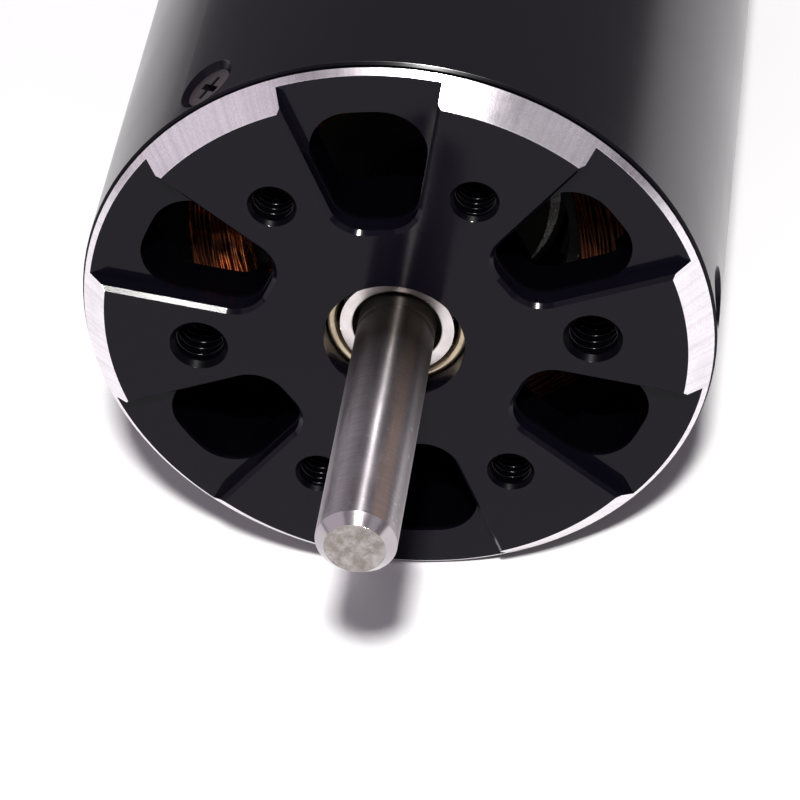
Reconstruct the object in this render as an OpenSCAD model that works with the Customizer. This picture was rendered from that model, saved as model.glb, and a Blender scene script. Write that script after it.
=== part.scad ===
// Brushless motor with an inner rotor, lying on its side.
// The shaft points along -Y, +Z is up, and the origin is the centre of the front mounting face.

/* [Body] */
// Outside diameter of the can
can_od = 65; // [64.5:0.1:66]
// Wall of the can
can_wall = 2; // [1.8:0.05:2.2]
// Small chamfer on both outer edges of the can
can_edge = 0.25; // [0.1:0.05:0.5]
// Length from the front mounting face to the rear face
body_len = 112; // [110:1:130]

/* [Bells] */
// Length and width of the bright cone around the mounting face
cone_len = 2.45; // [2:0.05:3]
// Step from the can's surface down to the bell's rim
rim_step = 0.25; // [0.2:0.05:0.5]
// Straight rim between the cone and the edge of the can
rim_len = 0.45; // [0.3:0.05:1]
// Thickness of the end plate's outer ring, which takes the screws
plate = 8.4; // [8.2:0.1:9]
// Thickness of the end plate inside that ring
web = 6.4; // [6:0.1:7]
// Length of the spigot that enters the can
spigot_len = 11; // [9:0.5:12]
// Wall of the spigot
spigot_wall = 2.6; // [2.2:0.1:2.9]
// Diameter of the hub around the bearing
hub_d = 27.2; // [26.8:0.2:28.4]
// Diameter of the opening that the shaft passes
opening_d = 14.5; // [13.5:0.1:16]
// Thickness of the lip in front of a bearing
lip = 2.45; // [2:0.05:3]
// Length of hub behind a bearing
hub_tail = 0.5; // [0.3:0.1:1]

/* [Front face] */
// Number of recesses, vents and bolt holes
front_count = 6; // [6:1:6]
// Depth of each recess below the mounting face
recess_depth = 1.9; // [1.5:0.1:2.4]
// Angle between the two walls of a recess
recess_angle = 30; // [26:1:32]
// Bevel along the edges of a recess
recess_bevel = 0.4; // [0.2:0.05:0.6]
// Metal left between the hub and a vent
vent_hub_wall = 0.4; // [0.2:0.1:1]
// Metal left between a vent and the edge of the mounting face
vent_rim_wall = 2.45; // [2:0.05:4]
// Corner radius at the outer end of a vent
vent_corner = 4.5; // [2.5:0.1:5]
// Corner radius at the inner end of a recess
vent_inner_corner = 3.6; // [3:0.1:4.4]
// Diameter of the circle of bolt holes
bolt_pcd = 40.5; // [39:0.1:42]
// Core diameter of the two wide bolt threads, at the sides
wide_core_d = 5; // [4.8:0.1:5.2]
// Diameter of the countersunk mouth of a wide bolt hole
wide_mouth_d = 6.1; // [5.8:0.1:6.6]
// Core diameter of the four other bolt threads
bolt_core_d = 4.2; // [4:0.1:4.4]
// Diameter of the countersunk mouth of one of these four
bolt_mouth_d = 5; // [4.8:0.1:5.6]

/* [Rear face] */
// Number of vent groups and of lead outlets
rear_count = 3; // [3:1:3]
// Diameter of the circle of rear vent holes
rear_vent_pcd = 41; // [39:0.2:42]
// Diameter of a rear vent hole
rear_vent_d = 6; // [4:0.2:6.4]
// Angle between neighbouring holes of a group
rear_vent_angle = 20; // [18:1:22]
// Diameter of the circle of lead outlets
lead_pcd = 42; // [41.4:0.1:42.2]
// Bore of a grommet
lead_bore_d = 6.6; // [5:0.1:7]
// Hole in the plate that a grommet grips
grommet_hole_d = 10.4; // [9:0.1:10.6]
// Diameter of both flanges of a grommet
grommet_flange_d = 12; // [11.4:0.1:12.4]
// Thickness of a grommet flange
grommet_flange = 1.2; // [1:0.1:1.5]
// Plate thickness left inside a grommet's groove
grommet_grip = 3; // [2.5:0.1:3.5]

/* [Screws] */
// Radial screws at each end of the can
screw_count = 3; // [3:1:3]
// Thread diameter of a screw
screw_d = 3; // [2.5:0.1:3]
// Head diameter of a screw
screw_head_d = 5; // [4.8:0.1:5.6]
// Straight edge of a screw head
screw_head_edge = 0.15; // [0.1:0.05:0.2]
// Length of a screw, head included
screw_len = 7; // [5:0.1:7]
// Wall between the bottom of a screw's hole and the thinner part of the end plate
screw_wall = 0.8; // [0.6:0.1:1]
// Diameter of the countersink at the can's surface
screw_sink_d = 6.6; // [6.2:0.1:6.7]
// Distance from the edge of the can to a screw's axis
screw_setback = 3.45; // [3.35:0.05:3.6]
// Length of the cross slots in a screw head
cross_len = 3; // [2.4:0.1:3.4]
// Width of the cross slots
cross_w = 0.75; // [0.5:0.05:0.9]
// Depth of the cross slots
cross_depth = 1; // [0.6:0.1:1.2]

/* [Bearings] */
// Outside diameter of a bearing
bearing_od = 22; // [21.6:0.1:22.4]
// Width of a bearing
bearing_w = 7; // [7:0.1:7.6]
// Balls in a bearing
ball_count = 7; // [6:1:7]
// Diameter of a ball
ball_d = 3.969; // [3.8:0.001:4]
// Diameter of the circle that the ball centres follow
ball_pcd = 15; // [14.9:0.01:15.1]
// Shoulder diameter of the inner ring
inner_ring_d = 11.7; // [11.4:0.1:11.9]
// Shoulder diameter of the outer ring
outer_ring_d = 18.6; // [18.2:0.1:18.8]
// Corner chamfer of the inner ring's bore
inner_chamfer = 0.6; // [0.3:0.05:0.7]
// Corner chamfer of the outer ring
outer_chamfer = 0.4; // [0.2:0.05:0.6]
// Sheet thickness of a shield
shield_sheet = 0.3; // [0.2:0.05:0.35]
// Depth of a shield's flat below the bearing's face
shield_inset = 0.6; // [0.5:0.05:0.7]
// Radius of the rolled lip of a shield
shield_lip = 0.8; // [0.6:0.05:0.85]
// Gap between a shield's lip and the inner ring
shield_gap = 0.3; // [0.2:0.05:0.4]
// Depth of the groove that holds a shield in the outer ring
shield_groove = 0.4; // [0.2:0.05:0.5]
// Radial width of a ball cage
cage_w = 1.2; // [1:0.1:1.4]
// Reach of the cage on the open side of the balls
cage_open = 0.9; // [0.6:0.1:1.2]
// Reach of the cage on the closed side of the balls
cage_closed = 2.25; // [2.2:0.05:2.3]
// Space for the wave washer behind the rear bearing
preload_gap = 1.4; // [1.3:0.05:1.8]
// Sheet thickness of the wave washer
wave_sheet = 0.3; // [0.2:0.05:0.35]
// Inside diameter of the wave washer
wave_id = 17; // [16.4:0.1:18]
// Waves around the wave washer
wave_count = 3; // [3:1:4]

/* [Shaft] */
// Diameter of the shaft
shaft_d = 8; // [7.8:0.05:8.1]
// Length of shaft in front of the mounting face
shaft_out = 31; // [20:0.5:45]
// Chamfer on both shaft ends
shaft_chamfer = 1; // [0.5:0.1:1.5]
// Width of the relief groove that ends the shaft's output seat
relief_w = 1; // [0.5:0.1:1.5]
// Depth of the relief groove
relief_depth = 0.25; // [0.2:0.05:0.4]
// Distance from the mounting face to the relief groove
relief_start = 0.3; // [0.2:0.1:0.6]
// Length of shaft behind the rear bearing
shaft_tail = 2.4; // [2.3:0.1:3.5]
// Depth of the retaining groove
clip_groove = 0.2; // [0.15:0.05:0.3]
// Thickness of the retaining ring
clip_t = 0.8; // [0.7:0.05:0.9]
// Radial width of the retaining ring
clip_w = 1.4; // [1.1:0.1:1.6]
// Radius of the retaining ring's ears
clip_ear = 1.1; // [0.9:0.1:1.2]
// Plier hole in each ear
clip_hole_d = 0.9; // [0.6:0.1:1]
// Angle between the two ears
clip_angle = 64; // [50:1:80]

/* [Stator] */
// Distance from the mounting face to the core
core_start = 23; // [22:0.1:24]
// Distance from the rear face to the core
core_setback = 28; // [27:0.1:30]
// Teeth in the core
tooth_count = 6; // [6:1:6]
// Width of a tooth
tooth_w = 10.5; // [9.8:0.1:10.7]
// Radial thickness of the yoke
yoke = 5; // [4.6:0.1:5.1]
// Radial thickness of the tooth tips
tooth_tip = 1.4; // [1.2:0.1:1.5]
// Width of a slot's mouth
slot_mouth = 2.4; // [2:0.1:2.8]
// Radial air gap around the rotor
air_gap = 0.6; // [0.5:0.05:0.7]
// Height of the insulating end frames
end_frame = 4; // [3:0.1:4.2]
// Overhang of an end frame beside a tooth
frame_side = 0.4; // [0.4:0.05:0.6]
// Rounding of an end frame's edges under the wire
frame_round = 1.5; // [1:0.1:1.8]
// Setback of an end frame from the can
frame_setback = 0.5; // [0.3:0.1:0.8]
// Sheet thickness of the slot liners
liner = 0.3; // [0.2:0.02:0.34]
// Width of a slot wedge
wedge_w = 3.8; // [3.2:0.1:4]
// Thickness of a slot wedge
wedge_t = 0.5; // [0.3:0.05:0.6]

/* [Winding] */
// Diameter of the bundle of strands that makes one turn
wire_d = 1.5; // [1.3:0.05:1.55]
// Gap between neighbouring turns
wire_gap = 0.7; // [0.65:0.05:0.8]
// Length of the straight tail at each end of a coil
wire_tail = 2; // [1.8:0.1:4]

/* [Rotor] */
// Setback of the magnets from both ends of the core
magnet_setback = 3; // [1:0.5:5]
// Number of magnets
pole_count = 4; // [2:2:8]
// Outside diameter of the rotor's sleeve
rotor_d = 30.4; // [30:0.1:30.6]
// Wall of the sleeve
sleeve = 0.6; // [0.4:0.05:0.8]
// Radial thickness of a magnet
magnet_t = 2.9; // [2:0.1:3.5]
// Gap between two magnets
magnet_gap = 1.2; // [0.5:0.1:2]
// Diameter of the balance rings
balance_d = 27.2; // [25:0.1:28]
// Thickness of the balance rings
balance_t = 2; // [1.5:0.1:3]
// Diameter of the spacers
spacer_d = 11.2; // [10.6:0.1:11.4]

/* [Hidden] */
$fn = 96;
press_gap = 0.01;
vent_step = 0.08;
slip_gap = 0.02;
race_gap = 0.02;
cage_gap = 0.06;
coil_gap = 0.15;
screw_bottom_gap = 0.5;
clip_side_gap = 0.05;
wave_rest_gap = 0.05;
sink_through_gap = 0.1;
grommet_gap = 0.2;
shield_recess = 0.1;
over = 0.9;
ring_sides = 6;
corner_rings = 4;
in_turns = 2;
climb_turns = 0.25;
back_turns = 1.25;
wave_steps = 48;

can_r = can_od / 2;
bore_r = can_r - can_wall;
rim_r = can_r - rim_step;
land_r = rim_r - cone_len;
seat = cone_len + rim_len;
spigot_r = bore_r - slip_gap;
spigot_end = seat + spigot_len;
screw_z = seat + screw_setback;
screw_face_r = can_r - (screw_sink_d - screw_head_d) / 2 + screw_head_edge + slip_gap * sqrt(2);
tap_in_r = screw_face_r - screw_len - screw_bottom_gap;
web_r = tap_in_r - screw_wall;

recess_half = recess_angle / 2;
vent_in_r = hub_d / 2 + vent_hub_wall;
inner_x = vent_in_r + vent_inner_corner;
inner_y = (inner_x * sin(recess_half) - vent_inner_corner) / cos(recess_half);
vent_r = land_r - vent_rim_wall;
corner_x = vent_r - vent_corner;
corner_angle = recess_half - asin((vent_corner + vent_step) / corner_x);

shaft_r = shaft_d / 2;
front_bearing_z = lip;
rear_bearing_z = body_len - lip - preload_gap - bearing_w;
front_hub_len = lip + bearing_w + hub_tail;
rear_hub_len = body_len - rear_bearing_z + hub_tail;
shaft_end = rear_bearing_z + bearing_w + shaft_tail;
clip_z = rear_bearing_z + bearing_w + clip_side_gap;
clip_in_r = shaft_r - clip_groove;

core_r = bore_r - slip_gap;
core_end = body_len - core_setback;
core_len = core_end - core_start;
core_mid = core_start + core_len / 2;
slot_out_r = core_r - yoke;
rotor_r = rotor_d / 2;
stator_in_r = rotor_r + air_gap;
slot_in_r = stator_in_r + tooth_tip;
magnet_start = core_start + magnet_setback;
magnet_end = core_end - magnet_setback;
magnet_len = magnet_end - magnet_start;
magnet_out_r = rotor_r - sleeve - press_gap;
magnet_in_r = magnet_out_r - magnet_t;

wire_r = wire_d / 2;
wire_pitch = wire_d + wire_gap;
coil_first_r = slot_in_r + coil_gap + wire_r;
coil_last_r = coil_first_r + wire_pitch * in_turns;
coil_half_w = tooth_w / 2 + frame_side + coil_gap + wire_r;
coil_half_len = core_len / 2 + end_frame + coil_gap + wire_r;
coil_corner = frame_round + coil_gap + wire_r;

// Turns a piece that is modelled along +Z, front first, to lie along +Y.
module lay() {
    rotate([-90, 0, 0]) children();
}

// Places a piece that is modelled from the rear face inward.
module from_rear() {
    translate([0, 0, body_len]) mirror([0, 0, 1]) children();
}

// Repeats a piece around the axis, the first one turned by start.
module around(count, start = 0) {
    for (i = [0 : count - 1]) {
        rotate([0, 0, start + 360 * i / count]) children();
    }
}

// Plain tube between two places on the axis.
module tube(out_r, in_r, low, high) {
    translate([0, 0, low]) difference() {
        cylinder(h = high - low, r = out_r);
        translate([0, 0, -over]) cylinder(h = high - low + 2 * over, r = in_r);
    }
}

// Rod with a chamfer at both ends.
module chamfered_rod(r, low, high, chamfer) {
    translate([0, 0, low]) cylinder(h = chamfer, r1 = r - chamfer, r2 = r);
    translate([0, 0, low + chamfer]) cylinder(h = high - low - 2 * chamfer, r = r);
    translate([0, 0, high - chamfer]) cylinder(h = chamfer, r1 = r, r2 = r - chamfer);
}

// Direction across a recess's wall, away from the recess.
wall_normal = [-sin(recess_half), cos(recess_half)];

// Points around the inner end of a recess or a vent, from one wall to the other.
function inner_end(step) =
    let (
        touch = [inner_x, inner_y] + (vent_inner_corner - step) * wall_normal,
        low = vent_in_r + step
    )
    [
        touch, [inner_x, inner_y], [low, inner_y],
        [low, -inner_y], [inner_x, -inner_y], [touch.x, -touch.y]
    ];

// Outline of one recess: straight walls and an inner end with round corners.
module recess_outline() {
    far_y = can_r * tan(recess_half);
    for (side = [-1, 1]) {
        translate([inner_x, side * inner_y]) circle(r = vent_inner_corner);
    }
    polygon([each inner_end(0), [can_r, -far_y], [can_r, far_y]]);
}

// Outline of one vent: the recess's inner end, closed by an outer arc with round corners.
module vent_outline() {
    centre = corner_x * [cos(corner_angle), sin(corner_angle)];
    wall = centre + vent_corner * wall_normal;
    far_y = can_r * tan(corner_angle);
    for (side = [-1, 1]) {
        translate([inner_x, side * inner_y]) circle(r = vent_inner_corner - vent_step);
        translate([centre.x, side * centre.y]) circle(r = vent_corner);
    }
    polygon([
        each inner_end(vent_step),
        [wall.x, -wall.y], [centre.x, -centre.y], [centre.x, centre.y], [wall.x, wall.y]
    ]);
    intersection() {
        circle(r = vent_r);
        polygon([[centre.x, -centre.y], [can_r, -far_y], [can_r, far_y], [centre.x, centre.y]]);
    }
}

// Bevel along both walls and around the inner end of one recess.
module recess_bevels() {
    touch = inner_x * cos(recess_half) + inner_y * sin(recess_half);
    reach = recess_bevel + over;
    for (side = [-1, 1]) {
        translate([inner_x, side * inner_y, -over]) cylinder(
            h = reach + over, r1 = vent_inner_corner + reach, r2 = vent_inner_corner - over
        );
        rotate([0, 0, side * recess_half]) translate([touch, 0, 0]) rotate([90, 0, 90])
            linear_extrude(height = can_r - touch) polygon([
                [-side * over, -over], [side * reach, -over], [-side * over, reach]
            ]);
    }
    translate([vent_in_r, 0, 0]) rotate([90, 0, 0]) linear_extrude(height = 2 * inner_y, center = true)
        polygon([[over, -over], [-reach, -over], [over, reach]]);
}

// Tapped holes for the radial screws.
module radial_taps() {
    around(screw_count) translate([tap_in_r, 0, screw_z]) rotate([0, 90, 0])
        cylinder(h = can_r, r = screw_d / 2 + slip_gap);
}

// Turned blank of a bell, with its hub, spigot and bearing pocket.
module bell_blank(hub_len) {
    difference() {
        union() {
            cylinder(h = cone_len, r1 = land_r, r2 = rim_r);
            translate([0, 0, cone_len]) cylinder(h = rim_len, r = rim_r);
            translate([0, 0, seat]) cylinder(h = spigot_len, r = spigot_r);
        }
        tube(spigot_r - spigot_wall, hub_d / 2, plate, spigot_end + over);
        tube(web_r, hub_d / 2, web, spigot_end + over);
        translate([0, 0, hub_len]) cylinder(h = spigot_end, r = hub_d / 2 + over);
        translate([0, 0, -over]) cylinder(h = spigot_end, r = opening_d / 2);
        translate([0, 0, lip]) cylinder(h = spigot_end, r = bearing_od / 2 + press_gap);
        radial_taps();
    }
}

// Core of one threaded hole with its countersunk mouth.
module bolt_hole(core_d, mouth_d) {
    translate([bolt_pcd / 2, 0, -over]) {
        cylinder(h = plate + 2 * over, r = core_d / 2);
        cylinder(h = over + (mouth_d - core_d) / 2, r1 = mouth_d / 2 + over, r2 = core_d / 2);
    }
}

module front_bell() {
    color("#26252b") lay() difference() {
        bell_blank(front_hub_len);
        around(front_count, 180 / front_count) {
            translate([0, 0, -over]) linear_extrude(height = recess_depth + over) recess_outline();
            translate([0, 0, -over]) linear_extrude(height = plate + 2 * over) vent_outline();
            recess_bevels();
        }
        around(2) bolt_hole(wide_core_d, wide_mouth_d);
        for (side = [-1, 1]) {
            around(2, side * 360 / front_count) bolt_hole(bolt_core_d, bolt_mouth_d);
        }
    }
}

// Stepped hole that holds one grommet.
module outlet_hole() {
    pocket_r = grommet_flange_d / 2 + grommet_gap;
    face = grommet_flange + grommet_gap;
    translate([0, 0, -over]) cylinder(h = plate + 2 * over, r = grommet_hole_d / 2);
    translate([0, 0, -over]) cylinder(h = face + over, r = pocket_r);
    translate([0, 0, face + grommet_grip]) cylinder(h = plate, r = pocket_r);
}

module rear_bell() {
    color("#26252b") lay() from_rear() difference() {
        bell_blank(rear_hub_len);
        around(rear_count) {
            for (turn = [-rear_vent_angle, 0, rear_vent_angle]) {
                rotate([0, 0, turn]) translate([rear_vent_pcd / 2, 0, -over])
                    cylinder(h = plate + 2 * over, r = rear_vent_d / 2);
            }
        }
        around(rear_count, 180 / rear_count) translate([lead_pcd / 2, 0, 0]) outlet_hole();
    }
}

module lead_grommets() {
    grip_end = grommet_gap + grommet_flange + grommet_grip;
    color("#1d1d1f") lay() from_rear() around(rear_count, 180 / rear_count)
        translate([lead_pcd / 2, 0, 0]) difference() {
            union() {
                translate([0, 0, grommet_gap]) cylinder(h = grommet_flange, r = grommet_flange_d / 2);
                translate([0, 0, grommet_gap]) cylinder(
                    h = grip_end - grommet_gap + grommet_flange, r = grommet_hole_d / 2 - slip_gap
                );
                translate([0, 0, grip_end]) cylinder(
                    h = grommet_flange, r = grommet_flange_d / 2
                );
            }
            cylinder(h = plate + over, r = lead_bore_d / 2);
        }
}

// Countersunk hole in the can for one radial screw.
module sink_hole() {
    sink_r = screw_sink_d / 2;
    translate([can_r + over, 0, screw_z]) rotate([0, -90, 0]) {
        cylinder(h = sink_r + over, r1 = sink_r + over, r2 = 0);
        cylinder(h = can_wall + 2 * over, r = screw_d / 2 + sink_through_gap);
    }
}

module can() {
    color("#2c2b30") lay() difference() {
        chamfered_rod(can_r, seat, body_len - seat, can_edge);
        cylinder(h = body_len, r = bore_r);
        around(screw_count) sink_hole();
        from_rear() around(screw_count) sink_hole();
    }
}

// Countersunk cross-head screw, its head's face at zero and its tip along +Z.
module cross_screw() {
    head_r = screw_head_d / 2;
    thread_r = screw_d / 2;
    difference() {
        union() {
            cylinder(h = screw_head_edge, r = head_r);
            translate([0, 0, screw_head_edge]) cylinder(h = head_r - thread_r, r1 = head_r, r2 = thread_r);
            cylinder(h = screw_len, r = thread_r);
        }
        for (turn = [0, 90]) {
            rotate([0, 0, turn]) translate([-cross_len / 2, -cross_w / 2, -over])
                cube([cross_len, cross_w, cross_depth + over]);
        }
    }
}

// Ring of radial screws, seated in the countersinks.
module screw_ring() {
    around(screw_count) translate([screw_face_r, 0, screw_z]) rotate([0, -90, 0])
        rotate([0, 0, 45]) cross_screw();
}

module can_screws() {
    color("#3a393d") lay() {
        screw_ring();
        from_rear() screw_ring();
    }
}

// All slots as one flat outline, with the flanks, the bottom and the mouth side moved in.
module slots_outline(flank, bottom, mouth) {
    difference() {
        circle(r = slot_out_r - bottom);
        circle(r = slot_in_r + mouth);
        around(tooth_count) translate([0, -tooth_w / 2 - flank])
            square([can_r, tooth_w + 2 * flank]);
    }
}

// Narrow mouths of the slots.
module mouths_outline() {
    around(tooth_count, 180 / tooth_count) translate([0, -slot_mouth / 2])
        square([slot_in_r + slot_mouth / 2, slot_mouth]);
}

module stator_core() {
    color("#55565c") lay() translate([0, 0, core_start]) linear_extrude(height = core_len)
        difference() {
            circle(r = core_r);
            circle(r = stator_in_r);
            slots_outline(0, 0, 0);
            mouths_outline();
        }
}

module slot_liners() {
    color("#d9d2b8") lay() translate([0, 0, core_start]) linear_extrude(height = core_len)
        difference() {
            slots_outline(press_gap, press_gap, press_gap);
            slots_outline(liner, liner, -tooth_tip);
        }
}

module slot_wedges() {
    color("#c9bd92") lay() around(tooth_count, 180 / tooth_count)
        translate([slot_in_r + press_gap, -wedge_w / 2, core_start]) cube([wedge_t, wedge_w, core_len]);
}

// Insulating frame on one end of the core, its foot at zero and growing along +Z.
module end_frame_solid() {
    side = tooth_w / 2 + frame_side;
    tip_in_r = stator_in_r + frame_side;
    tip_out_r = slot_in_r - press_gap;
    tube(bore_r - frame_setback, slot_out_r, 0, end_frame);
    difference() {
        tube(tip_out_r, tip_in_r, 0, end_frame);
        translate([0, 0, -over]) linear_extrude(height = end_frame + 2 * over) mouths_outline();
    }
    around(tooth_count) translate([tip_out_r - frame_side, 0, 0]) rotate([90, 0, 90])
        linear_extrude(height = slot_out_r - tip_out_r + 2 * frame_side) frame_section(side);
}

// Section of an end frame over a tooth, with round upper edges.
module frame_section(side) {
    translate([-side, 0]) square([2 * side, end_frame - frame_round]);
    translate([frame_round - side, 0]) square([2 * (side - frame_round), end_frame]);
    for (s = [-1, 1]) {
        translate([s * (side - frame_round), end_frame - frame_round]) circle(r = frame_round);
    }
}

module front_end_frame() {
    color("#1f2226") lay() translate([0, 0, core_start]) mirror([0, 0, 1]) end_frame_solid();
}

module rear_end_frame() {
    color("#1f2226") lay() translate([0, 0, core_end]) end_frame_solid();
}

// Share of the climb to the outer layer after a number of turns.
function layer_share(turn) = min(1, max(0, (turn - in_turns) / climb_turns));

// Distance from the motor's axis after a number of turns.
function turn_r(turn) =
    turn < in_turns ? coil_first_r + wire_pitch * turn
    : turn < in_turns + climb_turns ? coil_last_r
    : coil_last_r - wire_pitch * (turn - in_turns - climb_turns);

// Point on the middle of the wire: ring number along the coil, on a tooth that points along +X.
function coil_point(i) =
    let (
        turn = i / (4 * corner_rings),
        corner = floor(i / corner_rings),
        step = i - corner * corner_rings,
        angle = 180 + 90 * corner + 90 * step / (corner_rings - 1),
        layer = wire_pitch * layer_share(turn),
        flat_w = coil_half_w - coil_corner,
        flat_len = coil_half_len - coil_corner,
        quarter = corner % 4,
        side_w = quarter == 0 || quarter == 3 ? -flat_w : flat_w,
        side_len = quarter < 2 ? -flat_len : flat_len
    )
    [
        turn_r(turn),
        side_w + (coil_corner + layer) * cos(angle),
        core_mid + side_len + (coil_corner + layer) * sin(angle)
    ];

coil_rings = (in_turns + climb_turns + back_turns) * 4 * corner_rings;
coil_tail_z = core_mid + coil_half_len + wire_pitch + wire_tail;
coil_path = [
    [coil_first_r, -coil_half_w, coil_tail_z],
    for (i = [0 : coil_rings - 1]) coil_point(i),
    [turn_r(in_turns + climb_turns + back_turns), coil_half_w + wire_pitch, coil_tail_z]
];

function unit(v) = v / norm(v);

// Direction of a path at one of its points.
function heading(path, i) =
    i == 0 ? unit(path[1] - path[0])
    : i == len(path) - 1 ? unit(path[i] - path[i - 1])
    : unit(unit(path[i] - path[i - 1]) + unit(path[i + 1] - path[i]));

// Corner points of one ring of a swept wire.
function wire_ring(path, i) =
    let (
        along = heading(path, i),
        out = unit(cross(along, [1, 0, 0])),
        side = cross(along, out)
    )
    [for (k = [0 : ring_sides - 1])
        path[i] + wire_r * (cos(360 * k / ring_sides) * out + sin(360 * k / ring_sides) * side)];

// Distance from a point to the stretch between two others.
function stretch_gap(p, a, b) =
    let (share = min(1, max(0, (p - a) * (b - a) / ((b - a) * (b - a)))))
    norm(p - a - share * (b - a));

coil_least_gap = min([
    for (i = [0 : len(coil_path) - 1])
        for (j = [0 : len(coil_path) - 2])
            if (j > i + corner_rings + 1 || j + 1 < i - corner_rings - 1)
                stretch_gap(coil_path[i], coil_path[j], coil_path[j + 1])
]) - wire_d;
echo("least gap between the turns of a coil, mm", coil_least_gap);

// One coil: an unbroken wire wound around the tooth that points along +X.
module coil() {
    rings = len(coil_path);
    last = (rings - 1) * ring_sides;
    polyhedron(
        points = [for (i = [0 : rings - 1]) each wire_ring(coil_path, i)],
        faces = [
            for (k = [1 : ring_sides - 2]) [0, k, k + 1],
            for (i = [0 : rings - 2])
                for (k = [0 : ring_sides - 1])
                    let (
                        a = i * ring_sides + k,
                        b = i * ring_sides + (k + 1) % ring_sides
                    )
                    each [[a, b + ring_sides, b], [a, a + ring_sides, b + ring_sides]],
            for (k = [1 : ring_sides - 2]) [last, last + k + 1, last + k]
        ]
    );
}

// The two coils of one phase, on opposite teeth.
module phase(number) {
    color("#b8622c") lay() around(2, number * 360 / tooth_count) coil();
}

module phase_a_winding() {
    phase(0);
}

module phase_b_winding() {
    phase(1);
}

module phase_c_winding() {
    phase(2);
}

// Moves a piece that is modelled from a bearing's front face to the front or the rear bearing.
module at_bearing(rear) {
    lay() translate([0, 0, rear ? rear_bearing_z : front_bearing_z]) children();
}

// Round groove that the balls run in.
module ball_groove() {
    translate([0, 0, bearing_w / 2]) rotate_extrude() translate([ball_pcd / 2, 0])
        circle(r = ball_d / 2 + race_gap);
}

module bearing_outer_ring(rear) {
    groove_r = outer_ring_d / 2 + shield_groove;
    color("#b9babd") at_bearing(rear) difference() {
        chamfered_rod(bearing_od / 2, 0, bearing_w, outer_chamfer);
        translate([0, 0, -over]) cylinder(h = bearing_w + 2 * over, r = outer_ring_d / 2);
        for (low = [shield_inset, bearing_w - shield_inset - shield_sheet - slip_gap]) {
            translate([0, 0, low]) cylinder(h = shield_sheet + slip_gap, r = groove_r);
        }
        ball_groove();
    }
}

// Section of one shield, its lip rolled towards the bearing's face.
module shield_section() {
    lip_x = inner_ring_d / 2 + shield_gap + shield_lip;
    lip_y = shield_lip + shield_recess;
    plate_top = shield_inset + press_gap;
    plate_r = outer_ring_d / 2 + shield_groove - press_gap;
    difference() {
        translate([lip_x, lip_y]) circle(r = shield_lip);
        translate([lip_x, lip_y]) circle(r = shield_lip - shield_sheet);
        translate([lip_x - shield_lip - over, lip_y]) square([2 * (shield_lip + over), shield_lip + over]);
    }
    translate([lip_x + shield_lip - shield_sheet, plate_top])
        square([plate_r - lip_x - shield_lip + shield_sheet, shield_sheet]);
}

module bearing_shields(rear) {
    color("#b0a184") at_bearing(rear) {
        rotate_extrude() shield_section();
        translate([0, 0, bearing_w]) mirror([0, 0, 1]) rotate_extrude() shield_section();
    }
}

module bearing_inner_ring(rear) {
    ring_bore_r = shaft_r + press_gap;
    color("#d4d4d6") at_bearing(rear) difference() {
        cylinder(h = bearing_w, r = inner_ring_d / 2);
        translate([0, 0, -over]) cylinder(h = bearing_w + 2 * over, r = ring_bore_r);
        for (side = [0, 1]) {
            translate([0, 0, side * bearing_w]) mirror([0, 0, side]) translate([0, 0, -over])
                cylinder(h = inner_chamfer + over, r1 = ring_bore_r + inner_chamfer + over, r2 = ring_bore_r);
        }
        ball_groove();
    }
}

module bearing_balls(rear) {
    color("#e2e3e6") at_bearing(rear) around(ball_count)
        translate([ball_pcd / 2, 0, bearing_w / 2]) sphere(r = ball_d / 2);
}

module bearing_cage(rear) {
    mid = bearing_w / 2;
    color("#8c8a80") at_bearing(rear) difference() {
        tube((ball_pcd + cage_w) / 2, (ball_pcd - cage_w) / 2, mid - cage_open, mid + cage_closed);
        around(ball_count) translate([ball_pcd / 2, 0, mid]) sphere(r = ball_d / 2 + cage_gap);
    }
}

module front_bearing_outer_ring() {
    bearing_outer_ring(false);
}

module front_bearing_shields() {
    bearing_shields(false);
}

module front_bearing_inner_ring() {
    bearing_inner_ring(false);
}

module front_bearing_balls() {
    bearing_balls(false);
}

module front_bearing_cage() {
    bearing_cage(false);
}

module rear_bearing_outer_ring() {
    bearing_outer_ring(true);
}

module rear_bearing_shields() {
    bearing_shields(true);
}

module rear_bearing_inner_ring() {
    bearing_inner_ring(true);
}

module rear_bearing_balls() {
    bearing_balls(true);
}

module rear_bearing_cage() {
    bearing_cage(true);
}

// Points of the wave washer at one step around it: inner and outer edge, lower and upper side.
function wave_points(i) =
    let (
        angle = 360 * i / wave_steps,
        rise = (preload_gap - wave_sheet) / 2 - wave_rest_gap,
        mid = rear_bearing_z + bearing_w + preload_gap / 2 + rise * sin(wave_count * angle),
        in_r = wave_id / 2,
        out_r = bearing_od / 2 - shield_gap
    )
    [
        [in_r * cos(angle), in_r * sin(angle), mid - wave_sheet / 2],
        [out_r * cos(angle), out_r * sin(angle), mid - wave_sheet / 2],
        [out_r * cos(angle), out_r * sin(angle), mid + wave_sheet / 2],
        [in_r * cos(angle), in_r * sin(angle), mid + wave_sheet / 2]
    ];

module wave_washer() {
    color("#9a9ca0") lay() polyhedron(
        points = [for (i = [0 : wave_steps - 1]) each wave_points(i)],
        faces = [
            for (i = [0 : wave_steps - 1])
                for (k = [0 : 3])
                    let (
                        a = 4 * i + k,
                        b = 4 * i + (k + 1) % 4,
                        c = 4 * ((i + 1) % wave_steps) + (k + 1) % 4,
                        d = 4 * ((i + 1) % wave_steps) + k
                    )
                    each [[a, b, c], [a, c, d]]
        ]
    );
}

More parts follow.
